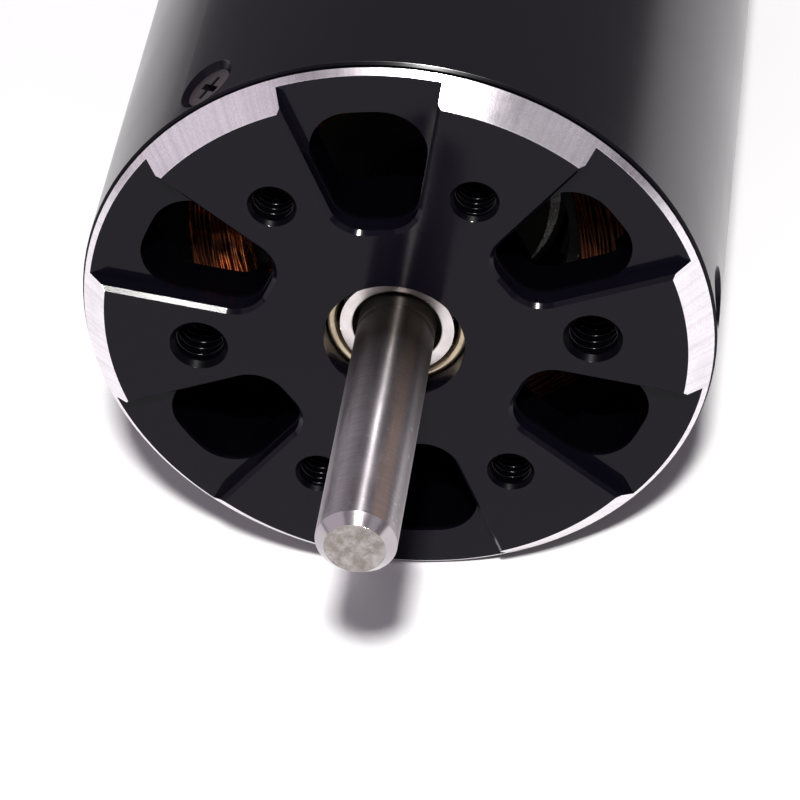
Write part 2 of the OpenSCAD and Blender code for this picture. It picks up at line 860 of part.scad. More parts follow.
module shaft() {
    color("#8f9094") lay() difference() {
        chamfered_rod(shaft_r, -shaft_out, shaft_end, shaft_chamfer);
        tube(shaft_r + over, shaft_r - relief_depth, relief_start, relief_start + relief_w);
        tube(shaft_r + over, clip_in_r, clip_z - clip_side_gap, clip_z + clip_t + clip_side_gap);
    }
}

module rotor_core() {
    color("#6a6c72") lay() tube(magnet_in_r - press_gap, shaft_r + press_gap, magnet_start, magnet_end);
}

module rotor_magnets() {
    color("#c3c4c8") lay() translate([0, 0, magnet_start]) linear_extrude(height = magnet_len)
        difference() {
            circle(r = magnet_out_r);
            circle(r = magnet_in_r);
            around(pole_count, 180 / pole_count) translate([0, -magnet_gap / 2])
                square([rotor_r, magnet_gap]);
        }
}

module rotor_sleeve() {
    color("#8b8c8f") lay() tube(rotor_r, rotor_r - sleeve, magnet_start, magnet_end);
}

module balance_ring(low) {
    color("#7f8084") lay() tube(balance_d / 2, shaft_r + press_gap, low, low + balance_t);
}

module front_balance_ring() {
    balance_ring(magnet_start - balance_t);
}

module rear_balance_ring() {
    balance_ring(magnet_end);
}

module front_spacer() {
    color("#a8a9ad") lay() tube(
        spacer_d / 2, shaft_r + press_gap, front_bearing_z + bearing_w, magnet_start - balance_t
    );
}

module rear_spacer() {
    color("#a8a9ad") lay() tube(spacer_d / 2, shaft_r + press_gap, magnet_end + balance_t, rear_bearing_z);
}

module retaining_ring() {
    half = clip_angle / 2;
    far_y = spacer_d * tan(half);
    color("#4a4b4f") lay() translate([0, 0, clip_z]) linear_extrude(height = clip_t) difference() {
        union() {
            difference() {
                circle(r = clip_in_r + clip_w);
                polygon([[0, 0], [spacer_d, -far_y], [spacer_d, far_y]]);
            }
            for (side = [-1, 1]) {
                rotate([0, 0, side * half]) translate([clip_in_r + clip_ear, 0]) circle(r = clip_ear);
            }
        }
        circle(r = clip_in_r + press_gap);
        for (side = [-1, 1]) {
            rotate([0, 0, side * half]) translate([clip_in_r + clip_ear, 0]) circle(d = clip_hole_d);
        }
    }
}

can();
front_bell();
rear_bell();
can_screws();
lead_grommets();
stator_core();
front_end_frame();
rear_end_frame();
slot_liners();
slot_wedges();
phase_a_winding();
phase_b_winding();
phase_c_winding();
front_bearing_outer_ring();
front_bearing_shields();
front_bearing_inner_ring();
front_bearing_balls();
front_bearing_cage();
rear_bearing_outer_ring();
rear_bearing_shields();
rear_bearing_inner_ring();
rear_bearing_balls();
rear_bearing_cage();
wave_washer();
shaft();
rotor_core();
rotor_magnets();
rotor_sleeve();
front_balance_ring();
rear_balance_ring();
front_spacer();
rear_spacer();
retaining_ring();
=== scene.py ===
"""Looks, winding and studio for a brushless motor that lies on its side, shaft along -Y."""
import math
import random

import bpy
from mathutils import Matrix, Vector


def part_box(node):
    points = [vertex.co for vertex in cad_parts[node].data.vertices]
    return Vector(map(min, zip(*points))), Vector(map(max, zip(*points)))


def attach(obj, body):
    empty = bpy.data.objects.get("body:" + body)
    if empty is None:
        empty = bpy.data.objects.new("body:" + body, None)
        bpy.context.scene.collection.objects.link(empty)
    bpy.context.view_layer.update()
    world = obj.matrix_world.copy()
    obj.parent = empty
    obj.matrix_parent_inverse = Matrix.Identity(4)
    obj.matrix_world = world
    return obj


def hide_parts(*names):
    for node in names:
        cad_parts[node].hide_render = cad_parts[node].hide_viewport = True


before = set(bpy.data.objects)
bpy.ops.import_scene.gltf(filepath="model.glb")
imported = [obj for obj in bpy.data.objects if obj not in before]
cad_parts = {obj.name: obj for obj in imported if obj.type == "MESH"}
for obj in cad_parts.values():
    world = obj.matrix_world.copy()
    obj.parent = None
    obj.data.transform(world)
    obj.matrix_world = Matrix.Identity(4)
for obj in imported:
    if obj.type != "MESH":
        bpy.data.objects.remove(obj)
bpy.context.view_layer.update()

bl_info = {
    "name": "Brushless Motor",
    "version": (1, 0, 0),
    "blender": (4, 5, 0),
    "location": "3D View > Sidebar > Motor",
    "description": "Finishes, coils and studio for a brushless motor",
    "category": "Object",
}

MM = 0.001
CAN_LOW, CAN_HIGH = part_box("can")
CAN_RADIUS = CAN_HIGH[0]
CORE_LOW, CORE_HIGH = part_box("stator_core")
SHAFT_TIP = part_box("shaft")[0][1]
REAR_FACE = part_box("rear_bell")[1][1]
BOLT_HOLES = 6

# How far a surface may lie from the place where a finish looks for it
SKIN = 0.03 * MM
# Depth from which a place counts as behind a flat end
BEHIND = 0.02 * MM
# The part of its range in which a noise mostly lies
USUAL = (0.3, 0.7)


def length(name, description, default):
    """Property for a length, given in metres."""
    return bpy.props.FloatProperty(
        name=name, description=description, default=default, min=0.0,
        unit="LENGTH", subtype="DISTANCE", precision=6,
    )


def share(name, description, default, high=1.0):
    """Property for a plain number from zero up."""
    return bpy.props.FloatProperty(name=name, description=description, default=default, min=0.0, max=high)


def count(name, description, default, low=1):
    """Property for a whole number."""
    return bpy.props.IntProperty(name=name, description=description, default=default, min=low)


def turn(name, description, degrees):
    """Property for an angle, given in degrees."""
    return bpy.props.FloatProperty(
        name=name, description=description, default=math.radians(degrees), unit="ROTATION", subtype="ANGLE",
    )


def watts(name, description, default):
    """Property for the power of a lamp."""
    return bpy.props.FloatProperty(
        name=name, description=description, default=default, min=0.0, unit="POWER",
    )


def tint(name, description, default):
    """Property for a colour."""
    return bpy.props.FloatVectorProperty(
        name=name, description=description, default=default, size=3, min=0.0, max=1.0, subtype="COLOR",
    )


class HousingLooks(bpy.types.PropertyGroup):
    """Colours and gloss of the can, the bells and their screws."""

    can: tint("Can", "Black anodised can", (0.0038, 0.0034, 0.0052))
    bell: tint("Bell", "Black anodised bells", (0.0026, 0.0022, 0.0045))
    # Painted shade: the vent walls and bolt holes are darkened to this colour
    recess_shade: tint("Recess", "Walls of the vents and bolt holes", (0.0006, 0.0005, 0.001))
    cone: tint("Cone", "Bare turned aluminium around the mounting face", (0.92, 0.88, 0.92))
    screw: tint("Screw", "Blackened screws", (0.34, 0.31, 0.32))
    # Painted shade in the cross of each screw
    cross_shade: tint("Shadow", "Dirt in the cross of a screw", (0.01, 0.008, 0.008))
    dust: tint("Dust", "Specks of dust", (0.2, 0.19, 0.19))
    rubber: tint("Grommet", "Rubber of the lead grommets", (0.014, 0.014, 0.015))
    can_roughness: share("Can roughness", "Roughness of the can", 0.22)
    bell_roughness: share("Bell roughness", "Roughness of the bells", 0.11)
    can_level: share("Can gloss", "Strength of the can's mirror light", 0.65)
    inner_share: share("Inner gloss", "Share of that gloss below the can's outer surface", 0.12)
    bell_level: share("Bell gloss", "Strength of the bells' mirror light", 0.13)
    cone_width: length("Cone width", "Length and width of the bright cone", 2.45 * MM)
    mounting_radius: length("Mounting face radius", "Radius at which the cone starts", 29.8 * MM)
    # Depth and fade of the painted shade in the vents
    recess_depth: length("Recess depth", "Depth behind the face at which the vents start", 1.95 * MM)
    fade: length("Fade", "Depth over which a vent's wall darkens", 0.6 * MM)
    hole_circle: length("Hole circle", "Radius of the circle of bolt holes", 20.25 * MM)
    mouth_radius: length("Mouth radius", "Radius around a bolt hole that is duller than the face", 3.1 * MM)
    cross_low: length("Cross depth", "Depth below the can at which a cross is fully dirty", 0.8 * MM)
    cross_high: length("Head depth", "Depth below the can at which a head is unshaded", 0.68 * MM)


class BearingLooks(bpy.types.PropertyGroup):
    """Colours of the bearings and of the shaft line."""

    ring: tint("Ring", "Ground bearing steel", (0.72, 0.67, 0.66))
    # Painted shade in the ring's corner next to the shaft
    ring_corner_shade: tint("Ring corner", "Oil in the ring's corner", (0.03, 0.022, 0.018))
    corner_low: length("Corner radius", "Radius up to which the ring is oily", 4.55 * MM)
    corner_high: length("Unshaded radius", "Radius from which the ring is unshaded", 4.75 * MM)
    shield: tint("Shield", "Pressed shield with a warm cast", (0.52, 0.43, 0.31))
    ball: tint("Ball", "Polished balls", (0.75, 0.75, 0.77))
    cage: tint("Cage", "Pressed ball cage", (0.3, 0.27, 0.22))
    spring: tint("Spring steel", "Wave washer and retaining ring", (0.1, 0.1, 0.11))
    shaft: tint("Shaft", "Ground shaft", (0.96, 0.9, 0.94))
    # Painted reflection and shade: a warm band and two dark bands at fixed angles round the shaft
    sheen: tint("Sheen", "Brown stain along the shaft", (1.0, 0.77, 0.64))
    shade_band: tint("Shading", "Dark bands along the shaft", (0.22, 0.2, 0.21))
    dim_band: tint("Dimming", "Paler dark band along the shaft", (0.25, 0.23, 0.25))
    scratch: tint("Scratch", "Grinding lines", (0.3, 0.28, 0.29))
    # Painted glints: bright flecks on the shaft
    glint_fleck: tint("Fleck", "Bright flecks on the shaft", (0.95, 0.92, 0.9))
    # Painted shade on the shaft near the bearing
    shade: tint("Shade", "Oil on the shaft near the bearing", (0.04, 0.033, 0.028))
    shade_start: length("Oil reach", "Distance from the mounting face at which the oil ends", 17.0 * MM)
    shade_full: length("Oil core", "Distance from the mounting face at which the oil is darkest", 2.0 * MM)
    bevel: tint("Bevel", "Turned bevel of the shaft's end", (0.42, 0.39, 0.41))
    bevel_length: length("Bevel length", "Length of the bevel", 1.0 * MM)
    end_pale: tint("End, pale", "Pale parts of the end face", (0.45, 0.43, 0.42))
    end_dark: tint("End, dark", "Dark parts of the end face", (0.27, 0.24, 0.22))


class StatorLooks(bpy.types.PropertyGroup):
    """Colours of the stator and the rotor."""

    copper: tint("Copper", "Enamelled copper wire", (0.95, 0.25, 0.065))
    # Shared by the varnish patches and the painted shade on the copper
    varnish_and_shade: tint("Varnish_and_shade", "Copper soaked with dip varnish", (0.02, 0.007, 0.005))
    lamination: tint("Core sheets", "Steel sheets of the core", (0.05, 0.05, 0.055))
    rust: tint("Rust", "Brown patches of the core", (0.1, 0.07, 0.05))
    # Painted shade: the end frames are darkened deep behind the vents
    end_frame: tint("End frame", "Moulded end frames", (0.006, 0.006, 0.007))
    film: tint("Slot film", "Insulating film in the slots", (0.55, 0.48, 0.3))
    board: tint("Slot wedge", "Board that closes the slots", (0.42, 0.33, 0.17))
    # Painted shade: the rotor steel is darkened to near black deep behind the vents
    rotor: tint("Rotor steel", "Turned rotor steel", (0.014, 0.013, 0.012))
    magnet: tint("Magnet", "Nickel plating of the magnets", (0.55, 0.54, 0.53))
    spacer: tint("Spacer", "Turned spacers", (0.5, 0.5, 0.51))


class CoilSizes(bpy.types.PropertyGroup):
    """Sizes of the coils. They stay in the room that the plain coils hold."""

    wire: length("Wire", "Diameter of the enamelled wire", 0.46 * MM)
    sides: count("Wire sides", "Sides of the wire's section", 6, 3)
    turn_pitch: length("Turn pitch", "Distance between turns of one layer", 0.485 * MM)
    layer_pitch: length("Layer pitch", "Distance between layers", 0.425 * MM)
    turns: count("Turns", "Turns in one layer", 12, 2)
    layers: count("Layers", "Layers on one tooth", 9)
    first_radius: length("First turn", "Distance from the axis to the first turn", 17.2 * MM)
    half_width: length("Half width", "Half the width of the first layer", 6.1 * MM)
    end_gap: length("End gap", "Distance from the core's end to the first layer", 4.42 * MM)
    corner: length("Corner", "Corner radius of the first layer", 1.9 * MM)
    disorder: length("Disorder", "How far a turn may stray", 0.34 * MM)
    bow: length("Bow", "How far the end turns bow outward", 0.7 * MM)
    tail: length("Tail", "Straight end of the wire past the coil", 1.5 * MM)
    teeth: count("Teeth", "Teeth of the stator", 6, 3)
    seed: count("Seed", "Seed of the disorder", 4, 0)


class ThreadSizes(bpy.types.PropertyGroup):
    """Sizes and colour of the thread ridges in the bolt holes."""

    wide_core: length("Wide core radius", "Radius of the wall of the two wide holes", 2.5 * MM)
    wide_pitch: length("Wide pitch", "Distance between ridges in a wide hole", 1.0 * MM)
    core: length("Core radius", "Radius of the wall of the four other holes", 2.1 * MM)
    pitch: length("Pitch", "Distance between ridges in the other holes", 0.8 * MM)
    ridge: length("Ridge", "Size of the ridge's section", 0.14 * MM)
    start: length("Start", "Depth at which the ridges start", 0.75 * MM)
    reach: length("Reach", "Depth that the ridges cover", 5.3 * MM)
    # Painted shade: the ridges are darker than the bell because they lie inside the bolt holes
    black: tint("Black", "Black of the ridges", (0.00039, 0.00033, 0.000675))
    roughness: share("Roughness", "Roughness of the ridges", 0.17)
    level: share("Gloss", "Strength of the ridges' mirror light", 0.195)


class StudioLooks(bpy.types.PropertyGroup):
    """Camera, lamps and floor."""

    lens: bpy.props.FloatProperty(
        name="Lens", description="Focal length in mm", default=175.34, unit="CAMERA",
    )
    place: bpy.props.FloatVectorProperty(
        name="Camera place", description="Place of the camera", default=(0.06694, -0.30120, 0.24565),
        size=3, unit="LENGTH", subtype="TRANSLATION", precision=5,
    )
    azimuth: turn("Azimuth", "Turn of the view around Z", 12.587)
    elevation: turn("Elevation", "Angle of the view below the horizon", 39.378)
    roll: turn("Roll", "Turn of the camera about its view", 8.857)
    floor: tint("Floor", "Floor", (0.95, 0.95, 0.96))
    floor_half: length("Floor size", "Half the width of the floor", 1.5)
    key: watts("Key lamp", "Power of the key lamp", 19.5)
    left: watts("Left lamp", "Power of the left lamp", 0.95)
    right: watts("Right lamp", "Power of the right lamp", 0.1425)
    room: tint("Room", "Colour of the surroundings", (0.97, 0.84, 1.0))
    sky: share("Sky", "Strength of the surroundings", 0.17, 4.0)


# Nodes

def node(tree, kind, inputs=None, out=0, **settings):
    """Adds a node, sets or links its inputs, and returns one of its outputs."""
    made = tree.nodes.new(kind)
    for key, value in settings.items():
        setattr(made, key, value)
    for key, value in (inputs or {}).items():
        if isinstance(value, bpy.types.NodeSocket):
            tree.links.new(value, made.inputs[key])
        else:
            made.inputs[key].default_value = value
    return made.outputs[out]


def calc(tree, operation, a, b=0.0, clamp=False):
    """One step of arithmetic."""
    return node(tree, "ShaderNodeMath", {0: a, 1: b}, operation=operation, use_clamp=clamp)


def vector_of(tree, x=0.0, y=0.0, z=0.0):
    """Vector from three numbers."""
    return node(tree, "ShaderNodeCombineXYZ", {0: x, 1: y, 2: z})


def rgba(colour):
    """Colour with full alpha."""
    return (*colour, 1.0)


def toned(colour, *shares):
    """Colour with its parts scaled, all by one number or each by its own."""
    shares = shares if len(shares) == len(colour) else shares * len(colour)
    return [min(1.0, part * by) for part, by in zip(colour, shares)]


def blend_colours(tree, factor, a, b):
    """Mix of two colours, each from a socket or in three parts."""
    a, b = (c if isinstance(c, bpy.types.NodeSocket) else rgba(c) for c in (a, b))
    return node(tree, "ShaderNodeMix", {0: factor, 6: a, 7: b}, out=2, data_type="RGBA")


def blend_values(tree, factor, a, b):
    """Mix of two numbers."""
    return node(tree, "ShaderNodeMix", {0: factor, 2: a, 3: b}, data_type="FLOAT")


# Finishes

class Finish:
    """A material under construction, with coordinates around the motor's axis."""

    def __init__(self, name):
        self.material = bpy.data.materials.new(name)
        self.material.use_nodes = True
        self.tree = self.material.node_tree
        self.shader = self.tree.nodes["Principled BSDF"]
        self.place = node(self.tree, "ShaderNodeTexCoord", out=3)
        parts = self.tree.nodes.new("ShaderNodeSeparateXYZ")
        self.tree.links.new(self.place, parts.inputs[0])
        self.x, self.y, self.z = parts.outputs
        self.radius = self.size_of(self.x, self.z)
        self.angle = self.calc("ARCTAN2", self.z, self.x)

    def set(self, **values):
        """Sets or links inputs of the shader, named in lower case."""
        for key, value in values.items():
            socket = self.shader.inputs[key.replace("_", " ").title().replace("Ior", "IOR")]
            if isinstance(value, bpy.types.NodeSocket):
                self.tree.links.new(value, socket)
            else:
                socket.default_value = value
        return self

    def linked(self, name):
        """What is linked to an input of the shader so far."""
        return self.shader.inputs[name].links[0].from_socket

    def calc(self, operation, a, b=0.0, clamp=False):
        """One step of arithmetic."""
        return calc(self.tree, operation, a, b, clamp)

    def size_of(self, a, b):
        """Length of a flat vector."""
        flat = vector_of(self.tree, x=a, z=b)
        return node(self.tree, "ShaderNodeVectorMath", {0: flat}, out=1, operation="LENGTH")

    def mix(self, factor, a, b):
        """Mix of two colours."""
        return blend_colours(self.tree, factor, a, b)

    def ramp(self, factor, low, high, to_low=0.0, to_high=1.0):
        """Straight ramp from one range to another, clamped."""
        return node(
            self.tree, "ShaderNodeMapRange", {0: factor, 1: low, 2: high, 3: to_low, 4: to_high}, clamp=True,
        )

    def grain(self, scale, detail=3.0, roughness=0.55, vector=None):
        """Noise between zero and one, in space or along another vector."""
        return node(self.tree, "ShaderNodeTexNoise", {
            "Vector": self.place if vector is None else vector,
            "Scale": scale, "Detail": detail, "Roughness": roughness,
        })

    def turned_lines(self, scale, spread):
        """Fine lines that run around the axis, as a lathe or a grinder leaves them."""
        around = self.calc("MULTIPLY", self.angle, spread)
        vector = vector_of(self.tree, self.radius, self.y, around)
        return self.grain(scale, detail=4.0, roughness=0.6, vector=vector)

    def specks(self, scale, size, rarity):
        """Mask of a few small specks of dust."""
        cell = self.tree.nodes.new("ShaderNodeTexVoronoi")
        self.tree.links.new(self.place, cell.inputs["Vector"])
        cell.inputs["Scale"].default_value = scale
        pick = node(self.tree, "ShaderNodeSeparateColor", {0: cell.outputs["Color"]})
        chosen = self.calc("GREATER_THAN", pick, rarity)
        near = self.calc("LESS_THAN", cell.outputs["Distance"], size)
        return self.calc("MULTIPLY", chosen, near)

    def bump(self, height, distance):
        """Bump of a real height in metres."""
        return self.set(normal=node(self.tree, "ShaderNodeBump", {"Distance": distance, "Height": height}))

    def around_axis(self):
        """Spreads an uneven gloss across lines that run around the axis."""
        around = node(self.tree, "ShaderNodeTangent", direction_type="RADIAL", axis="Y")
        quarter_turn = 0.25
        return self.set(tangent=around, anisotropic_rotation=quarter_turn)


def give(made, *names):
    """Gives a finish to CAD nodes."""
    for name in names:
        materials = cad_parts[name].data.materials
        materials.clear()
        materials.append(made.material)


def anodised(name, colour, dust_colour, roughness, level):
    """Black anodised aluminium with a fine blasted grain and a little dust."""
    made = Finish(name)
    cloud = made.grain(scale=60.0, detail=2.0)
    dust = made.specks(scale=260.0, size=0.035, rarity=0.93)
    base = made.mix(made.ramp(cloud, *USUAL, to_high=0.5), colour, toned(colour, 1.3))
    uneven = made.ramp(cloud, *USUAL, roughness - 0.03, roughness + 0.03)
    made.set(
        base_color=made.mix(dust, base, dust_colour),
        roughness=made.calc("ADD", uneven, made.calc("MULTIPLY", dust, 0.3)),
        specular_ior_level=level,
    )
    return made.bump(made.grain(scale=9000.0, detail=2.0), distance=0.0012 * MM)


def can_finish(looks):
    """Black can whose countersinks and bore are duller than its outside."""
    made = anodised("black_can", looks.can, looks.dust, looks.can_roughness, looks.can_level)
    inner = made.calc("LESS_THAN", made.radius, CAN_RADIUS - SKIN)
    dull_level = looks.can_level * looks.inner_share
    return made.set(specular_ior_level=made.ramp(inner, 0.0, 1.0, looks.can_level, dull_level))


def bolt_mouths(made, looks, depth):
    """Mask of the bolt holes and their mouths, behind the mounting face."""
    # Half of the angle between two holes folds all of them onto the first one
    folded = made.calc("PINGPONG", made.angle, math.pi / BOLT_HOLES)
    outward = made.calc("MULTIPLY", made.radius, made.calc("COSINE", folded))
    sideways = made.calc("MULTIPLY", made.radius, made.calc("SINE", folded))
    from_hole = made.size_of(made.calc("SUBTRACT", outward, looks.hole_circle), sideways)
    near = made.calc("LESS_THAN", from_hole, looks.mouth_radius)
    return made.calc("MULTIPLY", near, made.calc("GREATER_THAN", depth, BEHIND))


def bare_cone(made, looks, marks, dull):
    """Colour of the bare cone: small marks, dull patches, and streaks down its slope."""
    streak = made.grain(scale=45.0, vector=vector_of(made.tree, x=made.angle))
    bare = made.mix(made.ramp(marks, 0.42, 0.62, to_high=0.25), looks.cone, toned(looks.cone, 0.49))
    bare = made.mix(made.ramp(dull, 0.45, 0.65, to_high=0.25), bare, toned(looks.cone, 0.65))
    return made.mix(made.ramp(streak, 0.42, 0.68, to_high=0.4), bare, toned(looks.cone, 0.54))


def bell_finish(looks):
    """Glossy black bell with a bare, turned cone around the mounting face, and painted shade in its vents
    and bolt holes.
    """
    name = "glossy_black_bell_with_bright_cone"
    made = anodised(name, looks.bell, looks.dust, looks.bell_roughness, looks.bell_level)
    depth = made.calc("MINIMUM", made.y, made.calc("SUBTRACT", REAR_FACE, made.y))
    off_cone = made.calc("SUBTRACT", made.radius, made.calc("ADD", depth, looks.mounting_radius))
    on_cone = made.calc("LESS_THAN", made.calc("ABSOLUTE", off_cone), SKIN)
    cone = made.calc("MULTIPLY", on_cone, made.calc("LESS_THAN", depth, looks.cone_width))
    in_hole = bolt_mouths(made, looks, depth)
    # Painted shade: the vent walls darken with depth behind the recess, and the bolt holes and their mouths
    # darken too; their gloss fades with it
    vent = made.ramp(depth, looks.recess_depth, looks.recess_depth + looks.fade, to_high=0.9)
    painted_shade = made.calc("MAXIMUM", vent, made.calc("MULTIPLY", in_hole, 0.8))

    marks = made.grain(scale=5200.0, detail=2.0, roughness=0.7)
    dull = made.grain(scale=350.0, detail=2.0)
    black = made.mix(painted_shade, made.linked("Base Color"), looks.recess_shade)
    black_rough = made.calc("ADD", made.linked("Roughness"), made.calc("MULTIPLY", in_hole, 0.2))
    cone_rough = made.ramp(dull, 0.3, 0.75, 0.26, 0.34)
    made.set(
        base_color=made.mix(cone, black, bare_cone(made, looks, marks, dull)),
        metallic=cone,
        roughness=blend_values(made.tree, cone, black_rough, cone_rough),
        specular_ior_level=made.calc("MULTIPLY", made.calc("SUBTRACT", 1.0, painted_shade), looks.bell_level),
        anisotropic=made.calc("MULTIPLY", cone, 0.55),
    )
    made.around_axis()
    lines = made.turned_lines(scale=5200.0, spread=0.0006)
    cone_height = made.calc("ADD", made.calc("MULTIPLY", lines, 0.5), marks)
    black_height = made.calc("MULTIPLY", made.grain(scale=9000.0, detail=2.0), 0.15)
    return made.bump(blend_values(made.tree, cone, black_height, cone_height), distance=0.006 * MM)


def turned_metal(name, colour, roughness, line_scale, depth, worn=0.25):
    """Metal with lines around the axis and a slightly uneven tone."""
    made = Finish(name)
    lines = made.turned_lines(line_scale, spread=0.0004)
    cloud = made.grain(scale=450.0, roughness=0.6)
    base = made.mix(made.ramp(cloud, 0.35, 0.7), colour, toned(colour, 1.0 - worn))
    made.set(
        base_color=made.mix(made.ramp(lines, 0.4, 0.7, to_high=0.3), base, toned(colour, 1.25)),
        metallic=1.0,
        roughness=made.ramp(cloud, *USUAL, roughness * 0.8, roughness * 1.25),
    )
    return made.bump(lines, depth)


def ring_finish(looks):
    """Ground bearing ring with painted shade in its corner towards the shaft."""
    made = turned_metal(
        "ground_ring_steel", looks.ring, roughness=0.3, line_scale=9000.0, depth=0.0015 * MM, worn=0.15,
    )
    # Painted shade: the ring darkens towards the shaft
    shaded = made.ramp(made.radius, looks.corner_low, looks.corner_high, 0.9, 0.0)
    return made.set(base_color=made.mix(shaded, made.linked("Base Color"), looks.ring_corner_shade))


def plain_metal(name, colour, roughness, grain_scale=2500.0, depth=0.002 * MM):
    """Metal with an even grain."""
    made = Finish(name)
    cloud = made.grain(scale=700.0)
    made.set(
        base_color=made.mix(made.ramp(cloud, *USUAL), colour, toned(colour, 0.72)),
        metallic=1.0,
        roughness=made.ramp(cloud, *USUAL, roughness * 0.85, roughness * 1.2),
    )
    return made.bump(made.grain(grain_scale), depth)


def screw_finish(looks):
    """Blackened screws with painted shade in the cross."""
    made = plain_metal("blackened_screws", looks.screw, roughness=0.38)
    # Painted shade: the cross darkens with depth below the can
    shadowed = made.ramp(made.radius, CAN_RADIUS - looks.cross_low, CAN_RADIUS - looks.cross_high, 0.95, 0.0)
    return made.set(base_color=made.mix(shadowed, made.linked("Base Color"), looks.cross_shade))


def moulded(name, colour, roughness, grain_scale=1800.0, level=0.5):
    """Moulded plastic, rubber or board."""
    made = Finish(name)
    cloud = made.grain(scale=300.0)
    fine = made.grain(grain_scale)
    made.set(
        base_color=made.mix(made.ramp(cloud, *USUAL), colour, toned(colour, 0.7)),
        roughness=made.ramp(fine, *USUAL, roughness * 0.85, min(1.0, roughness * 1.15)),
        specular_ior_level=level,
    )
    return made.bump(fine, distance=0.01 * MM)


def shaft_colour(made, looks, lines, smudge, spots):
    """Colour along the shaft: smudges, four bands of painted reflection and shade, grinding lines, bright
    flecks painted as glints, and painted shade at the bearing.
    """
    waver = 0.3
    uneven = made.calc("ADD", made.angle, made.calc("MULTIPLY", smudge, waver))
    base = made.mix(made.ramp(smudge, 0.38, 0.62), toned(looks.shaft, 0.75), toned(looks.shaft, 0.42))
    # Painted reflection and shade: a lit band, a warm band and two dark bands at fixed angles round the
    # shaft
    for middle, half_width, strength, colour in (
        (1.96, 0.34, 0.7, looks.shaft),
        (0.86, 0.3, 0.85, looks.sheen),
        (0.0, 0.55, 0.8, looks.shade_band),
        (2.75, 0.5, 0.7, looks.dim_band),
    ):
        # A smudge adds half of the waver on average, and the middle moves with it
        away = made.calc("ABSOLUTE", made.calc("SUBTRACT", uneven, middle + waver / 2))
        base = made.mix(made.ramp(away, half_width * 0.3, half_width, strength, 0.0), base, colour)
    base = made.mix(made.ramp(lines, 0.4, 0.6, to_high=0.22), base, looks.scratch)
    # Painted glints: bright flecks
    base = made.mix(made.ramp(spots, 0.6, 0.7, to_high=0.4), base, looks.glint_fleck)
    # Painted shade: the shaft darkens towards the bearing
    wavy_place = made.calc("ADD", made.y, made.calc("MULTIPLY", smudge, 2.0 * MM))
    shaded = made.ramp(wavy_place, -looks.shade_start, -looks.shade_full, to_high=0.94)
    return made.mix(shaded, base, looks.shade)


def shaft_finish(looks):
    """Ground shaft with a turned bevel and a mottled end face."""
    made = Finish("ground_shaft_steel")
    stretch = 6.0
    across = [made.calc("MULTIPLY", part, stretch) for part in (made.x, made.z)]
    smudge = made.grain(
        scale=120.0, detail=4.0, roughness=0.6, vector=vector_of(made.tree, across[0], made.y, across[1]),
    )
    spots = made.grain(scale=1500.0, roughness=0.7)
    mottle = made.grain(scale=800.0, detail=5.0, roughness=0.72)
    lines = made.turned_lines(scale=4500.0, spread=0.0003)
    end = made.calc("LESS_THAN", made.y, SHAFT_TIP + BEHIND)
    bevel = made.calc("LESS_THAN", made.y, SHAFT_TIP + looks.bevel_length)

    base = made.mix(bevel, shaft_colour(made, looks, lines, smudge, spots), looks.bevel)
    end_colour = made.mix(made.ramp(mottle, 0.36, 0.6), looks.end_pale, looks.end_dark)
    rough = made.calc("SUBTRACT", made.ramp(smudge, *USUAL, 0.29, 0.34), made.calc("MULTIPLY", bevel, 0.14))
    made.set(
        base_color=made.mix(end, base, end_colour),
        metallic=0.92,
        roughness=made.calc("ADD", rough, made.calc("MULTIPLY", end, 0.5)),
        anisotropic=made.calc("SUBTRACT", 1.0, bevel),
    )
    made.around_axis()
    spot_height = made.calc("MULTIPLY", spots, made.ramp(end, 0.0, 1.0, 0.5, 3.0))
    return made.bump(made.calc("ADD", lines, spot_height), distance=0.002 * MM)


def stacked_sheets(looks):
    """Core of thin steel sheets: fine lines across the axis."""
    made = Finish("stacked_core_sheets")
    sheet = node(
        made.tree, "ShaderNodeTexWave", {"Vector": made.place, "Scale": 450.0, "Distortion": 0.0},
        out=1, wave_type="BANDS", bands_direction="Y",
    )
    cloud = made.grain(scale=300.0)
    base = made.mix(sheet, toned(looks.lamination, 0.5), looks.lamination)
    made.set(
        base_color=made.mix(made.ramp(cloud, 0.4, 0.7, to_high=0.4), base, looks.rust),
        metallic=0.8,
        roughness=made.ramp(cloud, *USUAL, 0.4, 0.6),
    )
    return made.bump(sheet, distance=0.03 * MM)


